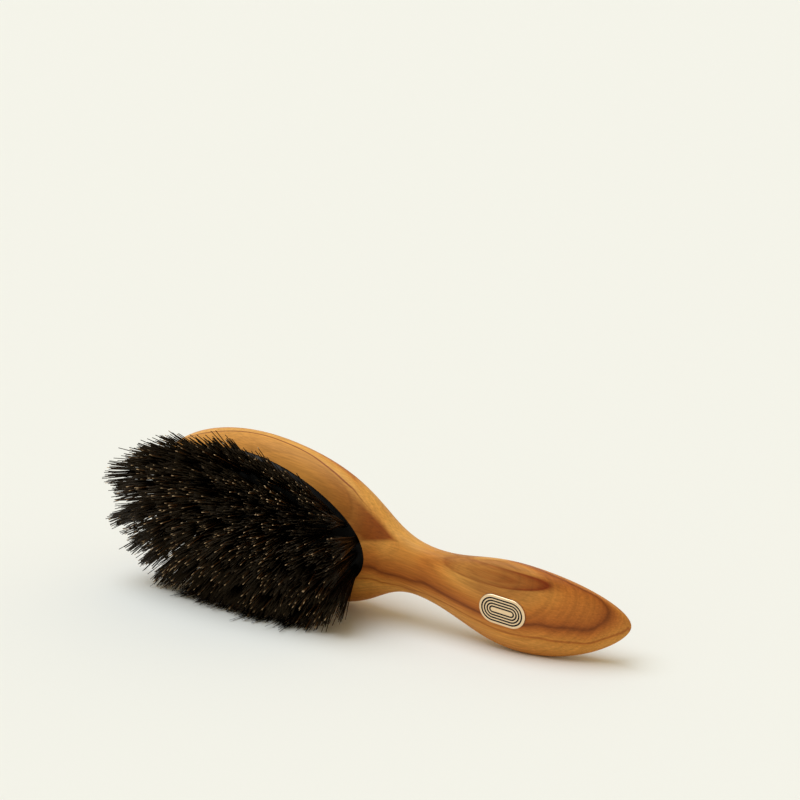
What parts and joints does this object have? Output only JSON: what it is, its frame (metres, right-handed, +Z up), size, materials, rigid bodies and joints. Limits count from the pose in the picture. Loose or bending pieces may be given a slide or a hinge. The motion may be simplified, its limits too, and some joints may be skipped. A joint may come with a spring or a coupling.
{
  "type": "hair brush",
  "caption": "Oval wooden hair brush with a rubber air cushion, rows of splayed dark bristle tufts and an inlaid metal plate on the handle; the cushion gives when the bristles are pressed.",
  "frame": {"origin": "centre of the bounding box's base, on the surface that the brush lies on", "axes": "+X from the head's nose towards the tail of the handle, -Y the side that the bristles point to, +Z up"},
  "size_m": [0.2136, 0.0524, 0.0619],
  "materials": {
    "olive_wood": "oiled and polished figured hardwood",
    "cushion_rubber": "smooth black natural rubber",
    "bristle": "black natural bristle with browner tips",
    "binding_wire": "plain drawn wire",
    "plate_metal": "pale gold, satin",
    "plate_enamel": "black enamel",
    "adhesive": "cured clear adhesive"
  },
  "bodies": {
    "brush_body": {"wooden_body": "olive_wood", "cushion": "cushion_rubber", "handle_plate": "plate_metal", "plate_enamel": "plate_enamel", "plate_adhesive": "adhesive"},
    "bristle_field": {"tuft_row_01": "bristle", "tuft_row_02": "bristle", "tuft_row_03": "bristle", "tuft_row_04": "bristle", "tuft_row_05": "bristle", "tuft_row_06": "bristle", "tuft_row_07": "bristle", "tuft_row_08": "bristle", "tuft_row_09": "bristle", "tuft_row_10": "bristle", "tuft_row_11": "bristle", "tuft_row_12": "bristle", "tuft_row_13": "bristle", "tuft_row_14": "bristle", "tuft_row_15": "bristle", "tuft_row_16": "bristle", "tuft_row_17": "bristle", "tuft_bindings": "binding_wire"}
  },
  "joints": [
    {"name": "cushion_press", "type": "slide", "parent": "brush_body", "child": "bristle_field", "axis": [0.0133, 0.9941, 0.1076], "range_m": [0, 0.003], "stiffness_N_per_m": 1500, "deforming": ["cushion"]}
  ]
}
